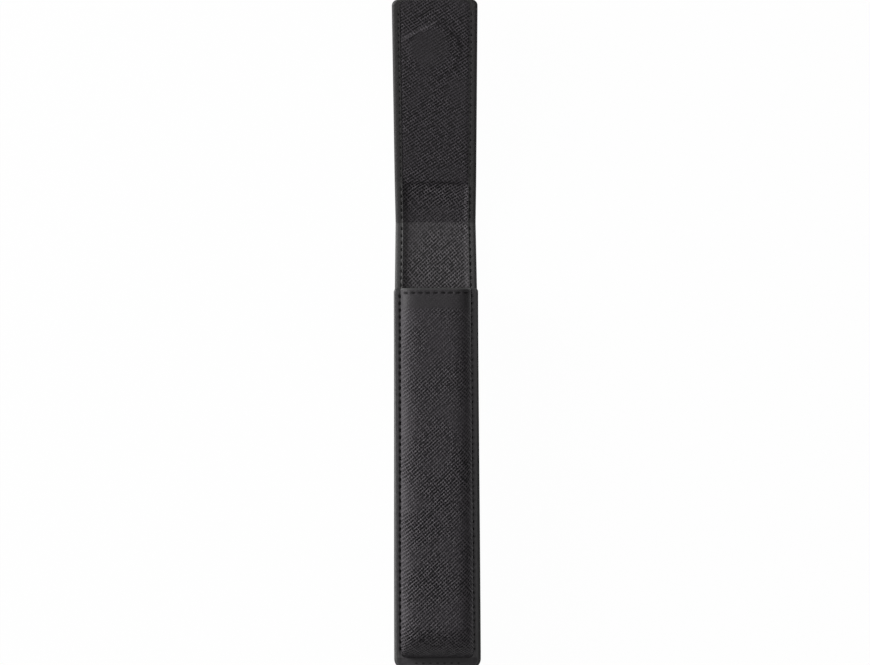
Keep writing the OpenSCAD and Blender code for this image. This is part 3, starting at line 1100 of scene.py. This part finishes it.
# %% [markdown]
# The strap's stitches lie in its channel, a little deeper on the flap. They slant by a few
# degrees, mirrored from side to side. Those of the strip belong half to each length of the
# strap, so that they bend with the leather they hold.

# %% Sew the strap
strap_stitch_len = 1.5
flap_sink = 0.09


def strap_seam(bm, alongs):
    for along in alongs:
        for side in (-1, 1):
            height = margin_z - channel - hole + thread_r * 0.6 - flap_sink * on_flap(along)
            place = laid(side * (strap_half(along) - seam_inset), along, height)
            lift = rise if along > body_len else 0
            sew(bm, place, Matrix.Rotation(lift, 3, "X") @ about_z(-slant * side), strap_stitch_len)


half_strip = len(strip_row) // 2
bm = bmesh.new()
strap_seam(bm, neck_row + strip_row[:half_strip])
stitches_low = stitch_object(bm, "stitches_neck")
bm = bmesh.new()
strap_seam(bm, strip_row[half_strip:] + flap_row)
stitches_up = stitch_object(bm, "stitches_flap")

# %% [markdown]
# The pocket's side seams run from the rounded bottom corners to the mouth. Their stitches are
# pulled in deeply, so less of each is seen.

# %% Sew the sides of the pocket
side_stitch_len = 1.2
side_stitch_z = bed_z - pit_depth + thread_r * 0.5
side_stitches = {}
for side, name in ((-1, "stitches_left"), (1, "stitches_right")):
    bm = bmesh.new()
    for along in side_row:
        place = laid(side * (front_half(along) - front_inset), along, side_stitch_z)
        sew(bm, place, about_z(-slant * side), side_stitch_len)
    side_stitches[name] = stitch_object(bm, name)

# %% [markdown]
# The row across the mouth follows the crown, so each stitch leans with the surface under it. A
# last stitch on each side ties the lip down at the foot of the wall.

# %% Sew the mouth
row_at = mouth - mouth_inset
mouth_sink = 0.36
tie_turn = math.radians(50)


def crown_at(x):
    return arch(row_at, bed_z, 0, abs(x) / foot_at(row_at))[1]


bm = bmesh.new()
for x in mouth_row:
    lean = math.atan2(crown_at(x - 0.5) - crown_at(x + 0.5), 1.0)
    turn = Matrix.Rotation(lean, 3, "Y") @ about_z(math.pi / 2)
    sew(bm, Vector((x, bottom_y + row_at, crown_at(x) - mouth_sink)), turn)
for side in (-1, 1):
    place = Vector((side * (foot_at(row_at) - 0.1), bottom_y + row_at - 0.3, flange_z + 0.2))
    sew(bm, place, about_z(side * tie_turn))
mouth_stitches = stitch_object(bm, "stitches_mouth")

# %% [markdown]
# The bottom row lies in the middle of the level margin below the heel, between the two corners.

# %% Sew the bottom
bottom_reach = seam_half - seam_start
bottom_sink = 0.26
bottom_stitch_z = flange_z - bottom_sink
bm = bmesh.new()
for x in spaced(-bottom_reach, bottom_reach):
    sew(bm, Vector((x, bottom_y + heel_margin / 2, bottom_stitch_z)), about_z(math.pi / 2))
bottom_stitches = stitch_object(bm, "stitches_bottom")

# %% [markdown]
# Every piece now rides on the body that carries it. The strap and the lining bend over the
# strip's side of each crease, so the back and the flap stay flat and the strip takes the curve.

# %% Bend the strap, the lining and their stitches at the creases
before_crease = 0.3
beyond_crease = 6.0


def crease_blend(piece, lower):
    up = Vector((0, math.cos(rise), math.sin(rise)))
    if lower:
        start, end = lower_crease - up * before_crease, lower_crease + up * beyond_crease
        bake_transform(piece, "sleeve", "hinge_strip", start=start * MM, end=end * MM)
    else:
        start, end = upper_crease - up * beyond_crease, upper_crease + up * before_crease
        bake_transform(piece, "hinge_strip", "flap", start=start * MM, end=end * MM)


crease_blend(cover_low, True)
crease_blend(cover_up, False)
crease_blend(lining_low, True)
crease_blend(lining_up, False)
crease_blend(stitches_low, True)
crease_blend(stitches_up, False)
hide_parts("back_leather", "strip_leather")
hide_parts("flap_leather", "strip_leather")
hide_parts("back_lining", "strip_lining")
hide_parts("flap_lining", "strip_lining")
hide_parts("neck_stitches", "strip_stitches")
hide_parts("flap_stitches", "strip_stitches")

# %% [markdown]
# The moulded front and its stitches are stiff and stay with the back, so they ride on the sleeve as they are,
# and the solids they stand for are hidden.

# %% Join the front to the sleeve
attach(front, "sleeve")
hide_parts("front_leather")
for name, node in (("stitches_left", "left_seam_stitches"), ("stitches_right", "right_seam_stitches")):
    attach(side_stitches[name], "sleeve")
    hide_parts(node)
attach(mouth_stitches, "sleeve")
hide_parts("mouth_stitches")
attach(bottom_stitches, "sleeve")
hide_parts("bottom_seam_stitches")

# %% [markdown]
# The inner pieces keep their solids. They only need the finish of the real thing: pressed fibre
# board, nickel plate on the magnet, bright sheet steel, and a matt lining in the pocket.

# %% Finish the inner pieces
inner = {
    "back_board": fibre, "front_board": fibre, "flap_board": fibre,
    "flap_magnet": plated, "keeper_plate": sheet_steel, "front_lining": suede,
}
for node, material in inner.items():
    mesh = frame["nodes"][node].data
    mesh.materials.clear()
    mesh.materials.append(material)
    print(node, "is finished with", material.name)
